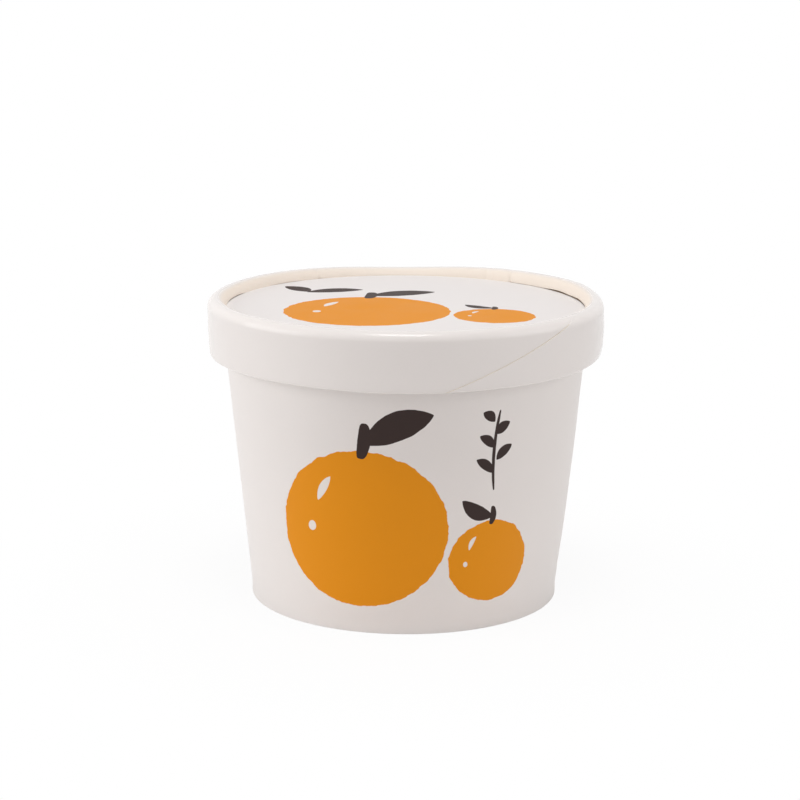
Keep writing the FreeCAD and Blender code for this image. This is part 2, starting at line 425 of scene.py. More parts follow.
class Effects:
    """The node groups that more than one finish uses, each built once."""

    ROUND_EDGE_MM = 0.07
    BLADE_EDGE_MM = 0.06
    WOBBLE_SCALE = 0.42
    FIBRE_SCALE = 2600.0
    CLOUD_SCALE = 110.0
    FIBRE_SHADE = 0.035
    CLOUD_SHADE = 0.02
    FIBRE_RELIEF = 0.35
    GLOSS_SPREAD = 0.12

    def __init__(self) -> None:
        """Builds every group."""
        self.unrolled = self._unrolled()
        self.round_mark = self._round_mark()
        self.blade_mark = self._blade_mark()
        self.grain = self._grain()

    @staticmethod
    def _new(
        name: str,
        numbers: Sequence[str],
        outputs: Sequence[str] = ("Mask",),
        kind: str = "NodeSocketFloat",
    ) -> tuple[NodeBench, bpy_prop_collection]:
        """Makes an empty group that takes a place and some numbers.

        Args:
            name: the group's name.
            numbers: the numbers' names.
            outputs: the outputs' names.
            kind: the outputs' socket type.

        Returns:
            A bench for the group's tree, and what the group is given.
        """
        tree = bpy.data.node_groups.new(name, "ShaderNodeTree")
        tree.interface.new_socket("Place", in_out="INPUT", socket_type="NodeSocketVector")
        for label in numbers:
            tree.interface.new_socket(label, in_out="INPUT", socket_type="NodeSocketFloat")
        for label in outputs:
            tree.interface.new_socket(label, in_out="OUTPUT", socket_type=kind)
        bench = NodeBench(tree)
        return bench, bench.add("NodeGroupInput").outputs

    def _unrolled(self) -> NodeTree:
        """The wall laid flat: millimetres along it from the front, and up it.

        Returns:
            The group's tree.
        """
        bench, given = self._new("wall_unrolled", (), ("Flat",), "NodeSocketVector")
        x, y, z = bench.parts(given["Place"])
        angle = bench.math("ARCTAN2", x, bench.times(y, -1.0))
        along = bench.times(angle, bench.hypotenuse(x, y))
        flat = bench.add("ShaderNodeCombineXYZ", X=bench.over(along, MM), Y=bench.over(z, MM))
        bench.add("NodeGroupOutput", Flat=flat.outputs[0])
        return bench.tree

    def _inked(
        self,
        bench: NodeBench,
        given: bpy_prop_collection,
        depth: NodeSocket,
        edge_mm: float,
    ) -> NodeTree:
        """Ends a mark's group with its mask, whose crisp edge wobbles a little.

        Args:
            bench: the group's bench.
            given: what the group is given.
            depth: how far inside the shape each place is, in millimetres.
            edge_mm: half the width of the printed edge.

        Returns:
            The group's tree.
        """
        wobble = bench.times(bench.noise(given["Place"], self.WOBBLE_SCALE, 2.0), given["Wobble"])
        mask = bench.ease(bench.plus(depth, wobble), -edge_mm, edge_mm, 0.0, 1.0)
        bench.add("NodeGroupOutput", Mask=mask)
        return bench.tree

    def _round_mark(self) -> NodeTree:
        """A printed round shape.

        Returns:
            The group's tree.
        """
        bench, given = self._new("round_mark", ("X", "Y", "Half Width", "Half Height", "Wobble"))
        x, y, _ = bench.parts(given["Place"])
        across = bench.over(bench.minus(x, given["X"]), given["Half Width"])
        up = bench.over(bench.minus(y, given["Y"]), given["Half Height"])
        depth = bench.times(bench.minus(1.0, bench.hypotenuse(across, up)), given["Half Width"])
        return self._inked(bench, given, depth, self.ROUND_EDGE_MM)

    def _blade_mark(self) -> NodeTree:
        """A printed leaf or stalk: pointed at both ends, and bent sideways by Bend.

        Returns:
            The group's tree.
        """
        bench, given = self._new(
            "blade_mark", ("X", "Y", "Turn", "Length", "Half Width", "Bend", "Fullness", "Wobble")
        )
        x, y, _ = bench.parts(given["Place"])
        dx, dy = bench.minus(x, given["X"]), bench.minus(y, given["Y"])
        turn = bench.math("RADIANS", given["Turn"])
        cos, sin = bench.math("COSINE", turn), bench.math("SINE", turn)
        along = bench.plus(bench.times(dx, cos), bench.times(dy, sin))
        across = bench.minus(bench.times(dy, cos), bench.times(dx, sin))
        share = bench.over(along, given["Length"])
        held = bench.math("MINIMUM", bench.math("MAXIMUM", share, 0.0), 1.0)
        hump = bench.times(bench.times(held, bench.minus(1.0, held)), 4.0)
        bent = bench.minus(across, bench.times(hump, given["Bend"]))
        half = bench.times(bench.math("POWER", hump, given["Fullness"]), given["Half Width"])
        beside = bench.minus(half, bench.math("ABSOLUTE", bent))
        past = bench.times(bench.math("ABSOLUTE", bench.minus(share, held)), given["Length"])
        return self._inked(bench, given, bench.minus(beside, past), self.BLADE_EDGE_MM)

    def _grain(self) -> NodeTree:
        """The fibres and faint clouds of a sheet of board.

        Shade multiplies the colour, Gloss Change is added to the roughness, and Relief is
        the height of the surface.

        Returns:
            The group's tree.
        """
        bench, given = self._new("board_grain", ("Strength",), ("Shade", "Gloss Change", "Relief"))
        fine = bench.noise(given["Place"], self.FIBRE_SCALE, 4.0, 0.65)
        broad = bench.noise(given["Place"], self.CLOUD_SCALE, 3.0, 0.55)
        mixed = bench.plus(bench.times(fine, self.FIBRE_SHADE), bench.times(broad, self.CLOUD_SHADE))
        shade = bench.plus(1.0, bench.times(mixed, given["Strength"]))
        gloss = bench.times(bench.plus(fine, broad), bench.times(given["Strength"], self.GLOSS_SPREAD))
        relief = bench.plus(bench.times(fine, self.FIBRE_RELIEF), broad)
        bench.add("NodeGroupOutput", Shade=shade, Gloss_Change=gloss, Relief=relief)
        return bench.tree


@dataclass(frozen=True)
class Mark:
    """One printed shape, in millimetres on the flat sheet.

    A mark with a length is a blade, and one without is round.
    """

    ink: Ink
    x: float
    y: float
    half_width: float
    half_height: float = 0.0
    length: float = 0.0
    turn: float = 0.0
    bend: float = 0.0
    fullness: float = 0.8
    wobble: float = 0.6

    def placed(self, x: float, y: float, size: float) -> Mark:
        """This mark, drawn about the origin at a size of 1, at a place and size.

        Args:
            x: the origin's place across the sheet.
            y: the origin's place up the sheet.
            size: what the mark's place and size are multiplied by.

        Returns:
            The mark on the sheet.
        """
        sizes = {name: size * getattr(self, name) for name in ("half_width", "half_height", "length")}
        return replace(self, x=x + size * self.x, y=y + size * self.y, **sizes)

    def mask(self, bench: NodeBench, effects: Effects, flat: NodeSocket) -> NodeSocket:
        """Adds this mark's group to a material.

        Args:
            bench: the material's bench.
            effects: the shared node groups.
            flat: places on the flat sheet.

        Returns:
            The mark's mask.
        """
        names = ["x", "y", "half_width", "wobble"]
        names += ["length", "turn", "bend", "fullness"] if self.length else ["half_height"]
        shape = effects.blade_mark if self.length else effects.round_mark
        sizes = {name.title(): getattr(self, name) for name in names}
        return bench.group(shape, Place=flat, **sizes)[0]


def fruit(x: float, y: float, size: float, lean: float) -> list[Mark]:
    """A round fruit with two pale touches, a short stalk and one leaf.

    Args:
        x: the fruit's middle across the sheet.
        y: the fruit's middle up the sheet.
        size: half its width.
        lean: angle of its leaf from level, in degrees.

    Returns:
        The fruit's marks.
    """
    drawing = (
        Mark(Ink.MUSTARD, 0.0, 0.0, 1.0, half_height=0.93, wobble=1.1),
        Mark(Ink.PAPER, -0.52, 0.3, 0.05, length=0.34, turn=62.0, bend=0.3, wobble=0.2),
        Mark(Ink.PAPER, -0.6, -0.02, 0.05, half_height=0.06, wobble=0.2),
        Mark(Ink.BARK, 0.0, 0.84, 0.075, length=0.42, turn=84.0, bend=-0.35, fullness=0.3, wobble=0.25),
        Mark(Ink.BARK, 0.04, 1.02, 0.17, length=0.85, turn=lean, bend=0.9, wobble=0.35),
    )
    return [mark.placed(x, y, size) for mark in drawing]


def sprig(x: float, y: float, height: float, leaves: int = 5) -> list[Mark]:
    """An upright twig with leaves that alternate to its two sides.

    Args:
        x: the twig's foot across the sheet.
        y: the twig's foot up the sheet.
        height: the twig's height.
        leaves: number of leaves, each smaller than the one below.

    Returns:
        The twig's marks.
    """
    stem = Mark(Ink.BARK, 0.0, 0.0, 0.022, length=1.0, turn=86.0, bend=0.8, fullness=0.25, wobble=0.15)
    marks = [stem.placed(x, y, height)]
    for number in range(leaves):
        side = 1 if number % 2 else -1
        level, length = 0.22 + 0.16 * number, 0.3 - 0.025 * number
        turn, bend = 90.0 - side * 52.0, side * 0.35
        leaf = Mark(Ink.BARK, 0.0, level, 0.062, length=length, turn=turn, bend=bend, wobble=0.25)
        marks.append(leaf.placed(x + side * 0.3 + 0.25, y, height))
    return marks


@dataclass(frozen=True)
class RadialTint:
    """Another colour beyond one radius, which comes in from a second radius.

    Dulling is added to the roughness where the colour is full.
    """

    colour: Colour
    full_mm: float
    none_mm: float
    dulling: float = 0.0

    def share(self, bench: NodeBench, place: NodeSocket) -> NodeSocket:
        """How far the tint covers each place, from 0 to 1."""
        radius = bench.vector("LENGTH", bench.flat_mm(place)).outputs[1]
        return bench.ease(radius, self.full_mm, self.none_mm, 1.0, 0.0)


@dataclass(frozen=True)
class BoardFinish:
    """A face of paper board, plain or printed.

    Strength is that of the board's grain, and unrolled print follows the wall.
    """

    name: str
    colour: Colour
    roughness: float
    specular: float = 0.35
    strength: float = 1.0
    relief_mm: float = 0.012
    relief_strength: float = 0.14
    unrolled: bool = False
    marks: tuple[Mark, ...] = ()
    tint: RadialTint | None = None

    def material(self, effects: Effects) -> Material:
        """Builds the finish.

        Args:
            effects: the shared node groups.

        Returns:
            The material.
        """
        made = bpy.data.materials.new(self.name)
        made.use_nodes = True
        bench = NodeBench(made.node_tree)
        place = bench.add("ShaderNodeTexCoord").outputs["Object"]
        shade, gloss_change, relief = bench.group(effects.grain, Place=place, Strength=self.strength)
        paper = bench.add("ShaderNodeRGB").outputs[0]
        paper.default_value = rgba(self.colour)
        rough = bench.plus(self.roughness, gloss_change)
        if self.tint:
            share = self.tint.share(bench, place)
            paper = bench.blend(share, paper, rgba(self.tint.colour))
            rough = bench.plus(rough, bench.times(share, self.tint.dulling))
        colour = self._printed(bench, effects, place, paper)
        bumps = bench.add(
            "ShaderNodeBump", Strength=self.relief_strength, Distance=self.relief_mm * MM, Height=relief
        )
        shader = bench.add(
            "ShaderNodeBsdfPrincipled",
            Base_Color=bench.vector("SCALE", colour, Scale=shade).outputs[0],
            Roughness=rough,
            Specular_IOR_Level=self.specular,
            Normal=bumps.outputs[0],
        )
        bench.add("ShaderNodeOutputMaterial", Surface=shader.outputs[0])
        return made

    def _printed(
        self,
        bench: NodeBench,
        effects: Effects,
        place: NodeSocket,
        colour: NodeSocket,
    ) -> NodeSocket:
        """Prints the marks over the sheet, one ink after another.

        Args:
            bench: the material's bench.
            effects: the shared node groups.
            place: Object coordinates.
            colour: the bare sheet's colour.

        Returns:
            The printed sheet's colour.
        """
        if not self.marks:
            return colour
        if self.unrolled:
            flat = bench.group(effects.unrolled, Place=place)[0]
        else:
            flat = bench.flat_mm(place)
        for ink in (Ink.MUSTARD, Ink.PAPER, Ink.BARK):
            masks = [mark.mask(bench, effects, flat) for mark in self.marks if mark.ink is ink]
            if masks:
                mask = masks[0]
                for more in masks[1:]:
                    mask = bench.math("MAXIMUM", mask, more)
                colour = bench.blend(mask, colour, rgba(ink.value))
        return colour


WHITE_BOARD = (0.88, 0.85, 0.825)
# Partly painted light: the rolled edge's inner side gets a warm cream that stands in for warm light
# bounced up from the disc, besides the board's own cream tone.
IVORY_AND_BOUNCE_LIGHT = RadialTint((0.93, 0.85, 0.755), full_mm=42.9, none_mm=44.5, dulling=0.5)
# Painted shade: a tan on the disc's top next to its upturned edge, under the roll's free end, so that the
# shaded gap there reads brown.
PAINTED_GAP_SHADE = RadialTint((0.80, 0.60, 0.44), full_mm=42.7, none_mm=42.45)
WALL_PRINT = BoardFinish(
    "wall_print",
    WHITE_BOARD,
    roughness=0.42,
    specular=0.2,
    unrolled=True,
    marks=(*fruit(-10.0, 25.0, 20.0, 24.0), *fruit(20.5, 16.5, 10.5, 150.0), *sprig(21.0, 33.5, 19.0)),
)
DISC_PRINT = BoardFinish(
    "disc_print",
    (0.89, 0.87, 0.858),
    roughness=0.38,
    specular=0.026,
    tint=PAINTED_GAP_SHADE,
    marks=(
        *fruit(-9.0, -8.0, 19.5, 22.0),
        *fruit(20.5, -13.0, 9.5, 148.0),
        Mark(Ink.BARK, -24.0, 17.0, 2.7, length=14.0, turn=14.0, bend=0.8, wobble=0.3),
        Mark(Ink.BARK, -23.5, 17.5, 2.4, length=10.0, turn=128.0, bend=-0.6, wobble=0.3),
    ),
)
RING_FACE = BoardFinish(
    "ring_board_face", WHITE_BOARD, roughness=0.2, specular=0.25, relief_mm=0.005, tint=IVORY_AND_BOUNCE_LIGHT
)
COATED = BoardFinish("white_coated_board", WHITE_BOARD, roughness=0.42)
LINING = BoardFinish("lining", (0.86, 0.83, 0.80), roughness=0.3, relief_mm=0.02)
UNCOATED = BoardFinish("uncoated_board", (0.80, 0.76, 0.70), roughness=0.8, strength=2.0, relief_mm=0.04)
# The real tan of cut edges and of the bare board inside the roll; on the lid disc's upturned edge, which
# is coated board, the same tan is painted brown shade of the gap under the roll.
CUT_EDGE = BoardFinish("cut_edge_and_gap_shade", (0.73, 0.67, 0.57), roughness=0.85, strength=2.0, relief_mm=0.05)


class Finishes:
    """The finishes of the cup, each built once, when a piece first needs it."""

    def __init__(self) -> None:
        """Builds the shared node groups."""
        self.effects = Effects()
        self.built: dict[str, Material] = {}

    def material(self, finish: BoardFinish) -> Material:
        """A finish's material.

        Args:
            finish: the finish to look up.

        Returns:
            Its material.
        """
        if finish.name not in self.built:
            self.built[finish.name] = finish.material(self.effects)
        return self.built[finish.name]


@dataclass
class Piece(ABC):
    """A piece of the cup: its name, the node it stands for, and the body it rides on.

    Faces holds its finishes in the order of Board, columns is the number of steps round
    the axis, and bends below smooth_below degrees are shaded smooth.
    """

    name: str
    node: str
    body: str
    slot: str
    faces: tuple[BoardFinish, ...]
    columns: int = 240
    board: float = 0.4 * MM
    smooth_below: float = 35.0

    @cached_property
    def size(self) -> tuple[float, float, float]:
        """The node's largest radius, lowest and highest level."""
        low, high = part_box(self.node)
        return ((high[0] - low[0]) / 2, low[2], high[2])

    @abstractmethod
    def build(self) -> Object:
        """Models the piece."""

    @abstractmethod
    def board_of(self, face: MeshPolygon) -> Board:
        """Tells which face of the board a face of the mesh is."""

    def finished(self, bench: Workbench) -> Object:
        """Ends the modelling of the true form and sorts its faces by board.

        Args:
            bench: the bench with the piece.

        Returns:
            The mesh.
        """
        piece = bench.end(self.smooth_below)
        for face in piece.data.polygons:
            face.material_index = self.board_of(face).value
        return piece

    def dress(self, piece: Object, finishes: Finishes) -> None:
        """Gives the mesh its finishes and ties it to the frame.

        Args:
            piece: the finished mesh.
            finishes: the cup's finishes.
        """
        for finish in self.faces:
            piece.data.materials.append(finishes.material(finish))
        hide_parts(self.node)
        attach(piece, self.body)
        count = len(piece.data.vertices)
        log.info("%s: %d vertices, for %s on body %s", self.name, count, self.node, self.body)


@dataclass
class CupWall(Piece):
    """The wound wall: folded foot, tapered side, lapped seam and rolled rim."""

    skirt_radius: float = 36.15 * MM
    glue_line: float = 0.05 * MM
    crimp_height: float = 2.6 * MM
    crimp_ease: float = 0.35 * MM
    crimp_step: float = 0.035 * MM
    foot_corner: float = 0.18 * MM
    fold_top: float = 4.4 * MM
    roll_radius: float = 1.15 * MM
    roll_gap: float = 0.15 * MM
    seam_azimuth: float = 185.0
    seam_reach: float = 3 * MM
    lap_step: float = 0.3 * MM
    lap_edge: float = 0.06 * MM
    lap_fade: float = 1.2 * MM
    lap_ease: float = 60.0
    bellies: tuple[Swell, ...] = (Swell(0.3, 92.0, 30.0), Swell(-0.08, 30.0, 25.0))
    belly_foot: float = 3 * MM

    @cached_property
    def roll(self) -> Point:
        """The middle of the rim's roll: its distance from the axis and its height."""
        return (self.size[0] - self.roll_radius, self.size[2] - self.roll_radius)

    @cached_property
    def under_roll(self) -> float:
        """The height of the roll's underside."""
        return self.roll[1] - self.roll_radius

    @cached_property
    def seam(self) -> tuple[Vector, Vector]:
        """The way out to the seam, and the level way onwards from there."""
        return directions(self.seam_azimuth)

    def build(self) -> Object:
        """Models the wall.

        Returns:
            The finished mesh.
        """
        roll_r, roll_z = self.roll
        board, corner = self.board, self.foot_corner
        foot = self.skirt_radius + self.glue_line + board
        bend = foot - board
        leg = self.skirt_radius - 2 * board - self.glue_line
        lean = self._lean(bend)
        across = self.roll_radius - board
        end = self._roll_end(lean)
        turn = 180.0 - math.degrees(lean) - end
        out = math.radians(end)
        bench = Workbench(self.name)
        bench.begin(leg, self.fold_top)
        bench.line(leg, corner, cuts=2)
        bench.arc((leg + corner, corner), 90.0, steps=4)
        bench.line(foot - corner, 0.0)
        bench.arc((foot - corner, corner), 90.0, steps=4)
        bench.line(foot, self.crimp_height - self.crimp_ease, cuts=2)
        bench.line(foot + self.crimp_step, self.crimp_height + self.crimp_ease)
        bench.line(roll_r - across * math.cos(lean), roll_z + across * math.sin(lean), cuts=18)
        bench.arc(self.roll, -turn, steps=22)
        bench.line(roll_r + self.roll_radius * math.cos(out), roll_z + self.roll_radius * math.sin(out))
        bench.arc(self.roll, turn, steps=28)
        bench.line(bend, self.crimp_height, cuts=18)
        bench.line(bend, board, cuts=2)
        bench.line(leg + board, board)
        bench.line(leg + board, self.fold_top, cuts=2)
        bench.line(leg, self.fold_top)
        bench.turn(self.columns, closed=True)
        for shift in (0.0, self.lap_edge):
            bench.cut(self._beside_seam, self.seam[1] * shift, self.seam[1])
        bench.press(self._flap)
        piece = self.finished(bench)
        reshape(piece.data, outward=self._bulge)
        return piece

    def _lean(self, bend: float) -> float:
        """The wall's angle from upright, so that it runs up into the roll."""
        dr, dz = self.roll[0] - bend, self.roll[1] - self.crimp_height
        return math.atan2(dr, dz) - math.asin(self.roll_radius / math.hypot(dr, dz))

    def _roll_end(self, lean: float) -> float:
        """The angle of the roll's free edge, in degrees from outwards."""
        reach = (self.roll_radius - self.board - self.roll_gap) / self.roll_radius
        return -180.0 - math.degrees(lean) + math.degrees(math.acos(reach))

    def _beside_seam(self, face: MeshPolygon) -> bool:
        """Tells the wall's outer faces along the seam.

        Args:
            face: a face of the wall.

        Returns:
            True for such a face.
        """
        outward, onward = self.seam
        flat = Vector((face.center.x, face.center.y, 0.0))
        near = flat.dot(outward) > 0.0 and abs(flat.dot(onward)) < self.seam_reach
        return near and face.normal.dot(flat) > 0.0 and face.center.z < self.under_roll

    def _flap(self, at: Places) -> np.ndarray:
        """The flap's height over the wall, which eases away from its edge.

        Args:
            at: the wall's vertices.

        Returns:
            The move away from the axis.
        """
        outward, onward = (at.points() @ np.array(way) for way in self.seam)
        on_flap = (outward > 0.0) & (onward <= 0.2 * self.lap_edge)
        outside = (at.facing > 0.3) & (at.height < self.under_roll)
        ease = 1.0 - smooth(0.0, self.lap_ease, (self.seam_azimuth - at.azimuth) % 360.0)
        fade = 1.0 - smooth(self.under_roll - self.lap_fade, self.under_roll, at.height)
        return self.lap_step * np.where(on_flap & outside, ease * fade, 0.0)

    def _bulge(self, at: Places) -> np.ndarray:
        """The wall is a little out of round between its foot and the lid.

        Args:
            at: the wall's vertices.

        Returns:
            The move away from the axis.
        """
        share = at.height / self.size[2]
        foot = self.belly_foot / self.size[2]
        return total(self.bellies, at.azimuth) * span(share, foot, 0.3, 0.5, 0.8)

    def board_of(self, face: MeshPolygon) -> Board:
        """Tells the outside, the lining and the cut edges apart.

        Args:
            face: a face of the wall.

        Returns:
            The face of the board.
        """
        radius, outward = about_axis(face)
        height = face.center.z
        roll_r, roll_z = self.roll
        from_roll = math.hypot(radius - roll_r, height - roll_z)
        near_roll = from_roll < self.roll_radius + HAIR and height > self.under_roll
        if near_roll and (radius > roll_r - 0.8 * self.roll_radius or height > roll_z):
            return Board.LINER if from_roll > self.roll_radius - self.board / 2 else Board.COATED
        if abs(height - self.fold_top) < HAIR and face.normal.z > 0.9:
            return Board.CUT_EDGE
        inside = outward < -0.3 and radius > self.skirt_radius - self.board
        return Board.LINER if inside else Board.COATED


@dataclass
class Dish(Piece):
    """A disc with its edge turned up, or down where way is -1.

    Rings and edge_cuts are the numbers of steps along its flat part and its edge.
    """

    bend_radius: float = 0.8 * MM
    way: int = 1
    rings: int = 30
    edge_cuts: int = 1

    def build(self) -> Object:
        """Models the disc and its edge.

        Returns:
            The finished mesh.
        """
        reach, low, top = self.size
        level, end = (low, top) if self.way > 0 else (top, low)
        inside = reach - self.board
        bend = (reach - self.bend_radius, level + self.way * self.bend_radius)
        bench = Workbench(self.name)
        bench.begin(0.0, level)
        bench.line(bend[0], level, cuts=self.rings)
        bench.arc(bend, self.way * 90.0, steps=6)
        bench.line(reach, end, cuts=self.edge_cuts)
        bench.line(inside, end)
        bench.line(inside, bend[1], cuts=self.edge_cuts)
        bench.arc(bend, self.way * -90.0, steps=6)
        bench.line(0.0, level + self.way * self.board, cuts=self.rings)
        bench.turn(self.columns, closed=False)
        return self.finished(bench)


@dataclass
class CupBase(Dish):
    """The recessed base disc with its skirt."""

    way: int = -1
    rings: int = 24
    edge_cuts: int = 4

    def board_of(self, face: MeshPolygon) -> Board:
        """Lines the base's top and outside, and leaves its underside bare board."""
        return Board.LINER if face.normal.z > 0.3 or about_axis(face)[1] > 0.3 else Board.CUT_EDGE


@dataclass
class LidRing(Piece):
    """The wound ring: hem, flared side, slanting lap and edge rolled in over the disc.

    The waves fade out at still_height above the hem's lowest edge, and the roll's lifts
    are of its free end.
    """

    columns: int = 360
    smooth_below: float = 32.0
    flare: float = math.radians(2.5)
    hem_height: float = 1.6 * MM
    bead_radius: float = 2.15 * MM
    bead_leg: float = 0.25 * MM
    seam_azimuth: float = 33.7
    seam_slope: float = math.radians(20.6)
    seam_drop: float = 1.3 * MM
    groove_width: float = 0.075 * MM
    groove_depth: float = 0.03 * MM
    lap_step: float = 0.14 * MM
    lap_ease: float = 42.0
    score_shift: float = 0.38
    creases: tuple[Crease, ...] = (Crease(0.34, 211.0), Crease(0.13, 151.4), Crease(0.38, 142.0))
    pinches: tuple[Swell, ...] = (
        Swell(0.12, 139.0, 3.5),
        Swell(0.1, 206.0, 4.0),
        Swell(0.15, 106.0, 24.0),
        Swell(0.15, -106.0, 24.0),
    )
    bellies: tuple[Swell, ...] = (Swell(0.34, 88.0, 22.0), Swell(0.12, -90.0, 22.0))
    belly_heights: tuple[float, ...] = (58.4 * MM, 60.5 * MM, 65 * MM, 69 * MM)
    bead_waves: tuple[Swell, ...] = (
        Swell(-0.3, 182.0, 26.0),
        Swell(0.34, 142.0, 24.0),
        Swell(0.1, 225.0, 18.0),
        Swell(-0.12, 262.0, 20.0),
        Swell(-0.38, 181.0, 18.0),
        Swell(0.48, 112.0, 15.0),
    )
    hem_waves: tuple[Swell, ...] = (Swell(-0.3, -2.0, 21.0), Swell(0.6, 84.0, 28.0))
    still_height: float = 5 * MM
    wave_margin: float = 1.5 * MM
    roll_lifts: tuple[Swell | Stretch, ...] = (
        Stretch(0.42, 86.0, 91.0, 118.0, 130.0),
        Stretch(0.07, 125.0, 129.0, 139.0, 143.0),
        Stretch(0.09, 216.0, 221.0, 229.0, 233.0),
        Stretch(0.26, 244.0, 254.0, 262.0, 270.0),
        Swell(0.12, 101.0, 3.0),
        Swell(-0.1, 110.0, 2.5),
        Swell(0.12, 141.6, 0.7),
        Swell(0.06, 210.4, 0.7),
        Swell(-0.17, 104.0, 24.0),
        Swell(-0.17, -104.0, 24.0),
    )
    roll_press: float = 0.045 * MM
    roll_fade: float = 1.3 * MM
    lift_fade: float = 1.1 * MM

    @cached_property
    def bead(self) -> Point:
        """The middle of the rolled edge: its distance from the axis and its height."""
        return (self.size[0] - self.bead_radius, self.size[2] - self.bead_radius)

    @cached_property
    def seam(self) -> tuple[Vector, Vector, Vector]:
        """The lap's plane.

        Returns:
            A point on the plane, the way out to the seam, and the plane's normal.
        """
        outward, onward = directions(self.seam_azimuth)
        above = Vector((0.0, 0.0, math.cos(self.seam_slope))) - onward * math.sin(self.seam_slope)
        return Vector((0.0, 0.0, (self.size[1] + self.size[2]) / 2)), outward, above

    def build(self) -> Object:
        """Models the ring.

        Returns:
            The finished mesh.
        """
        low, board, flare = self.size[1], self.board, self.flare
        bead_r, bead_z = self.bead
        side_low, hem_top = low + board, low + self.hem_height
        tangent_r = bead_r + self.bead_radius * math.cos(flare)
        tangent_z = bead_z - self.bead_radius * math.sin(flare)
        hem_in = tangent_r - (tangent_z - side_low) * math.tan(flare) - 2 * board
        inside = self.bead_radius - board
        drop = bead_z - inside * math.sin(flare) - hem_top
        leg, leg_end = bead_r - self.bead_radius, bead_z - self.bead_leg
        turn = 180.0 + math.degrees(flare)
        bench = Workbench(self.name)
        bench.begin(hem_in, side_low)
        bench.arc((hem_in + board, side_low), 180.0, steps=8)
        bench.line(tangent_r, tangent_z, cuts=16)
        bench.arc(self.bead, turn, steps=26)
        bench.line(leg, leg_end)
        bench.line(leg + board, leg_end)
        bench.line(leg + board, bead_z)
        bench.arc(self.bead, -turn, steps=20)
        bench.line(bead_r + inside * math.cos(flare) - drop * math.tan(flare), hem_top, cuts=8)
        bench.line(hem_in, hem_top)
        bench.line(hem_in, side_low)
        bench.turn(self.columns, closed=True)
        middle, _, above = self.seam
        for shift in (0.0, self.groove_width, 2 * self.groove_width):
            bench.cut(self._outside_seam, middle + above * shift, above)
        bench.press(self._lap)
        for crease in self.creases:
            for shift in (-self.score_shift, 0.0, self.score_shift):
                self._score(bench, crease.azimuth + shift)
        piece = self.finished(bench)
        reshape(piece.data, outward=self._dents, upward=self._waves)
        return piece

    def _score(self, bench: Workbench, azimuth: float) -> None:
        """Cuts a fine upright line into the rolled edge.

        Args:
            bench: the bench with the ring.
            azimuth: where the line is.
        """
        outward, onward = directions(azimuth)
        reach, _, top = self.size
        lowest, outmost = top - 1.4 * self.bead_radius, reach - 0.5 * self.bead_radius
        inmost = 0.9 * (reach - 2 * self.bead_radius)

        def on_roll(face: MeshPolygon) -> bool:
            """True for the roll's inner faces about the line."""
            near = face.center.z > lowest and face.center.dot(outward) > inmost
            return near and about_axis(face)[0] < outmost

        bench.cut(on_roll, Vector((0.0, 0.0, 0.0)), -onward)

    def _outside_seam(self, face: MeshPolygon) -> bool:
        """Tells the ring's outer faces on the seam's side of the axis."""
        flat = Vector((face.center.x, face.center.y, 0.0))
        return flat.dot(self.seam[1]) > 0.0 and face.normal.dot(flat) > 0.1 * flat.length

    def _lap(self, at: Places) -> np.ndarray:
        """The lap's height over the ring, with a fine groove along its edge.

        Args:
            at: the ring's vertices.

        Returns:
            The move away from the axis.
        """
        middle, outward, above = (np.array(way) for way in self.seam)
        over = (at.points() - middle) @ above
        along = (at.height - middle[2]) / math.tan(self.seam_slope)
        seam = self.seam_azimuth + np.degrees(np.arcsin(np.clip(along / at.radius, -1, 1)))
        ease = 1.0 - smooth(0.0, self.lap_ease, at.azimuth - seam)
        slack = 0.2 * self.groove_width
        raised = np.where(over < slack, self.lap_step * ease, 0.0)
        groove = np.where(np.abs(over - self.groove_width) < slack, -self.groove_depth, 0.0)
        return (raised + groove) * smooth(0.12, 0.5, at.facing) * (at.points() @ outward > 0.0)

    def _waves(self, at: Places) -> np.ndarray:
        """How far the rolled edge and the hem wave, and the roll's end stands off the disc.

        Args:
            at: the ring's vertices.

        Returns:
            The move up.
        """
        reach, low, top = self.size
        leg_end = top - self.bead_radius - self.bead_leg
        still = low + self.still_height
        inner = at.radius < reach - self.bead_radius
        outside = smooth(still, top - self.wave_margin, at.height)
        inside = smooth(leg_end, leg_end + self.roll_fade, at.height)
        hem = 1.0 - smooth(low + self.wave_margin, still, at.height)
        end = np.where(inner, 1.0 - smooth(leg_end, leg_end + self.lift_fade, at.height), 0.0)
        bead_wave = total(self.bead_waves, at.azimuth) * np.where(inner, inside, outside)
        lift = (total(self.roll_lifts, at.azimuth) - self.roll_press) * end
        return bead_wave + total(self.hem_waves, at.azimuth) * hem + lift

    def _dents(self, at: Places) -> np.ndarray:
        """The creases and pinches of the roll's inner face, and the side's slight belly.

        Args:
            at: the ring's vertices.

        Returns:
            The move away from the axis.
        """
        reach, _, top = self.size
        inner = 1.0 - smooth(reach - 1.75 * self.bead_radius, reach - 1.05 * self.bead_radius, at.radius)
        lower = 1.0 - smooth(top - self.bead_radius, top - 0.4 * self.bead_radius, at.height)
        fold = total(self.creases, at.azimuth) - total(self.pinches, at.azimuth) * lower
        return fold * inner + total(self.bellies, at.azimuth) * span(at.height, *self.belly_heights)

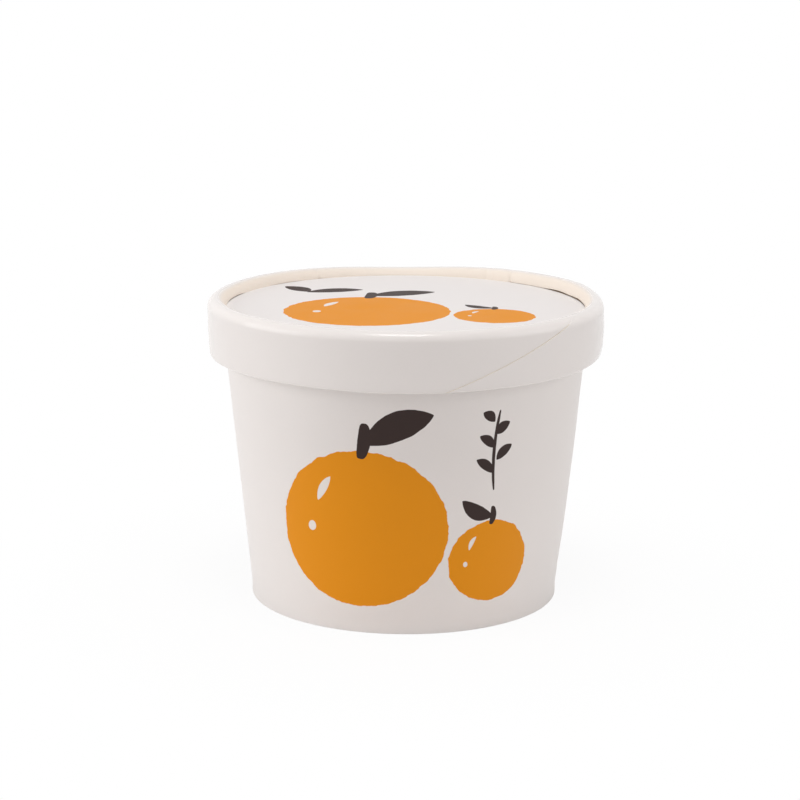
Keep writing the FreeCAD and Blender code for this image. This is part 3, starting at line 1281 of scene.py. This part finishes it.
    def board_of(self, face: MeshPolygon) -> Board:
        """Tells the coated face from bare board and the cut edge of the lap.

        Args:
            face: a face of the ring.

        Returns:
            The face of the board.
        """
        centre = face.center
        radius, outward = about_axis(face)
        bead_r, bead_z = self.bead
        middle, seam_way, above = self.seam
        on_lap_edge = 0.0 < (centre - middle).dot(above) < self.groove_width and centre.dot(seam_way) > 0
        if on_lap_edge and centre.z < self.size[2] - self.seam_drop and radius > bead_r:
            return Board.CUT_EDGE
        if centre.z > bead_z - 2 * HAIR:
            rolled = math.hypot(radius - bead_r, centre.z - bead_z)
            return Board.COATED if rolled > self.bead_radius - self.board / 2 else Board.CUT_EDGE
        if radius < bead_r:
            return Board.COATED if outward < -0.5 else Board.CUT_EDGE
        return Board.COATED if outward > -0.5 or centre.z < self.size[1] + self.hem_height else Board.LINER


@dataclass
class LidDisc(Dish):
    """The sunken printed disc with its upturned edge.

    Its dome and its ripple are how far it stands up at its middle and halfway out.
    """

    bend_radius: float = 0.7 * MM
    dome: float = 0.12 * MM
    ripple: float = 0.05 * MM
    ripple_count: float = 2.0
    ripple_start: float = 40.0
    presses: tuple[Swell, ...] = (Swell(0.15, 104.0, 28.0), Swell(0.15, -104.0, 28.0))

    def build(self) -> Object:
        """Models the disc, a little out of flat.

        Returns:
            The finished mesh.
        """
        piece = super().build()
        reshape(piece.data, upward=self._slack)
        return piece

    def _slack(self, at: Places) -> np.ndarray:
        """The disc stands up a little at its middle and is pressed down at its sides.

        Args:
            at: the disc's vertices.

        Returns:
            The move up.
        """
        share = at.radius / self.size[0]
        dome = self.dome * (1.0 - smooth(0.2, 0.95, share))
        round_disc = np.sin(np.radians(self.ripple_count * at.azimuth + self.ripple_start))
        ripple = self.ripple * round_disc * span(share, 0.0, 0.6, 0.8, 0.97)
        return dome + ripple - total(self.presses, at.azimuth) * smooth(0.5, 0.9, share)

    def board_of(self, face: MeshPolygon) -> Board:
        """Tells the print, the lining below it and the upturned edge apart; the edge is given the cut-edge
        tan as painted brown shade of the gap under the roll.

        Args:
            face: a face of the disc.

        Returns:
            The face of the board.
        """
        # The upturned edge takes the cut-edge tan: painted brown shade of the gap under the roll.
        if about_axis(face)[0] > self.size[0] - self.bend_radius:
            return Board.CUT_EDGE
        below = face.center.z < self.size[1] + 0.5 * self.board and face.normal.z < -0.3
        return Board.LINER if below else Board.COATED


@dataclass(frozen=True)
class Softbox:
    """A square studio light that faces the cup."""

    name: str
    azimuth: float
    elevation: float
    distance: float
    size: float
    power: float

    def build(self, aim: Vector) -> None:
        """Puts the light on its circle round a point, facing it.

        Args:
            aim: the point to face.
        """
        turn, rise = math.radians(self.azimuth), math.radians(self.elevation)
        away = Vector((math.sin(turn) * math.cos(rise), -math.cos(turn) * math.cos(rise), math.sin(rise)))
        bpy.ops.object.light_add(type="AREA", location=aim + away * self.distance)
        lamp = bpy.context.object
        lamp.name = self.name
        lamp.rotation_euler = away.to_track_quat("Z", "Y").to_euler()
        lamp.data.shape = "SQUARE"
        lamp.data.size = self.size
        lamp.data.energy = self.power


@dataclass
class Studio:
    """The pale floor, the soft light and the camera at the photograph's angle."""

    lens: float = 103.76
    sensor: float = 36.0
    near_clip: float = 0.01
    distance: float = 0.5499
    elevation: float = 12.711
    roll: float = 0.394
    aim: tuple[float, float, float] = (-0.00118, 0.0, 0.04639)
    lamp_aim: tuple[float, float, float] = (0.0, 0.0, 0.035)
    world_level: float = 0.32
    world_tone: Colour = (1.0, 0.91, 0.895)
    floor_size: float = 6.0
    floor_colour: Colour = (0.9, 0.9, 0.9)
    floor_shadow: float = 0.07
    shadow_reach: float = 0.11
    boxes: tuple[Softbox, ...] = (
        Softbox("left_box", -80.0, 13.0, 0.8, 0.6, 2.95),
        Softbox("right_box", 76.0, 15.0, 0.9, 0.6, 1.95),
        Softbox("top_box", -4.0, 78.0, 0.9, 0.3, 3.7),
    )

    def build(self) -> None:
        """Sets up the whole studio."""
        self._floor()
        self._world()
        for box in self.boxes:
            box.build(Vector(self.lamp_aim))
        self._camera()
        bpy.context.scene.view_settings.view_transform = "Standard"

    @staticmethod
    def _seen(bench: NodeBench) -> NodeSocket:
        """1 where the camera sees a surface, itself or in a reflection.

        Args:
            bench: the bench of the tree that asks.

        Returns:
            The share.
        """
        path = bench.add("ShaderNodeLightPath")
        rays = [path.outputs[name] for name in ("Is Camera Ray", "Is Glossy Ray", "Is Transmission Ray")]
        return bench.math("MAXIMUM", bench.math("MAXIMUM", rays[0], rays[1]), rays[2])

    def _floor(self) -> None:
        """A white floor that shows plain white with a faint shadow under the cup."""
        bpy.ops.object.select_all(action="DESELECT")
        bpy.ops.mesh.primitive_plane_add(size=self.floor_size, location=(0, 0, 0))
        floor = bpy.context.object
        floor.name = "studio_floor"
        material = bpy.data.materials.new("studio_white")
        material.use_nodes = True
        bench = NodeBench(material.node_tree)
        matt = bench.add("ShaderNodeBsdfDiffuse", Color=rgba(self.floor_colour))
        glow = bench.add("ShaderNodeEmission", Color=rgba(WHITE), Strength=1.0)
        place = bench.add("ShaderNodeTexCoord").outputs["Object"]
        away = bench.vector("LENGTH", place).outputs[1]
        level = bench.ease(away, 0.3 * self.shadow_reach, self.shadow_reach, 1.0 - self.floor_shadow, 1.0)
        seen = bench.times(self._seen(bench), level)
        mixed = bench.add("ShaderNodeMixShader", i0=seen, i1=matt.outputs[0], i2=glow.outputs[0])
        bench.add("ShaderNodeOutputMaterial", Surface=mixed.outputs[0])
        floor.data.materials.append(material)

    def _world(self) -> None:
        """An even white world, seen at full white and lighting at a lower level."""
        world = bpy.data.worlds.new("studio_world")
        bpy.context.scene.world = world
        world.use_nodes = True
        bench = NodeBench(world.node_tree)
        seen = self._seen(bench)
        level = bench.plus(self.world_level, bench.times(seen, 1.0 - self.world_level))
        tone = bench.blend(seen, rgba(self.world_tone), rgba(WHITE))
        ground = bench.add("ShaderNodeBackground", Color=tone, Strength=level)
        bench.add("ShaderNodeOutputWorld", Surface=ground.outputs[0])

    def _camera(self) -> None:
        """The camera that the photograph's outlines were fitted with."""
        rise = math.radians(self.elevation)
        away = Vector((0.0, -math.cos(rise), math.sin(rise)))
        bpy.ops.object.camera_add(location=Vector(self.aim) + away * self.distance)
        camera = bpy.context.object
        camera.name = "photo_camera"
        looking = Euler((math.pi / 2 - rise, 0.0, 0.0)).to_matrix()
        rolled = looking @ Matrix.Rotation(math.radians(self.roll), 3, "Z")
        camera.rotation_euler = rolled.to_euler()
        camera.data.lens = self.lens
        camera.data.sensor_width = self.sensor
        camera.data.clip_start = self.near_clip
        bpy.context.scene.camera = camera


def main() -> None:
    """Builds the cup and its studio around the frame."""
    logging.basicConfig(level=logging.INFO, format="%(name)s: %(message)s")
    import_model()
    Studio().build()
    finishes = Finishes()
    pieces = (
        CupWall("wall_blank", "cup_wall", "cup", "wall_board", (WALL_PRINT, LINING, UNCOATED)),
        CupBase("base_panel", "cup_base", "cup", "base_board", (COATED, LINING, UNCOATED)),
        LidRing("ring_strip", "lid_ring", "lid", "ring_board", (RING_FACE, LINING, CUT_EDGE)),
        LidDisc("disc_panel", "lid_disc", "lid", "disc_board", (DISC_PRINT, LINING, CUT_EDGE)),
    )
    for piece in pieces:
        piece.dress(piece.build(), finishes)


if __name__ == "__main__":
    main()
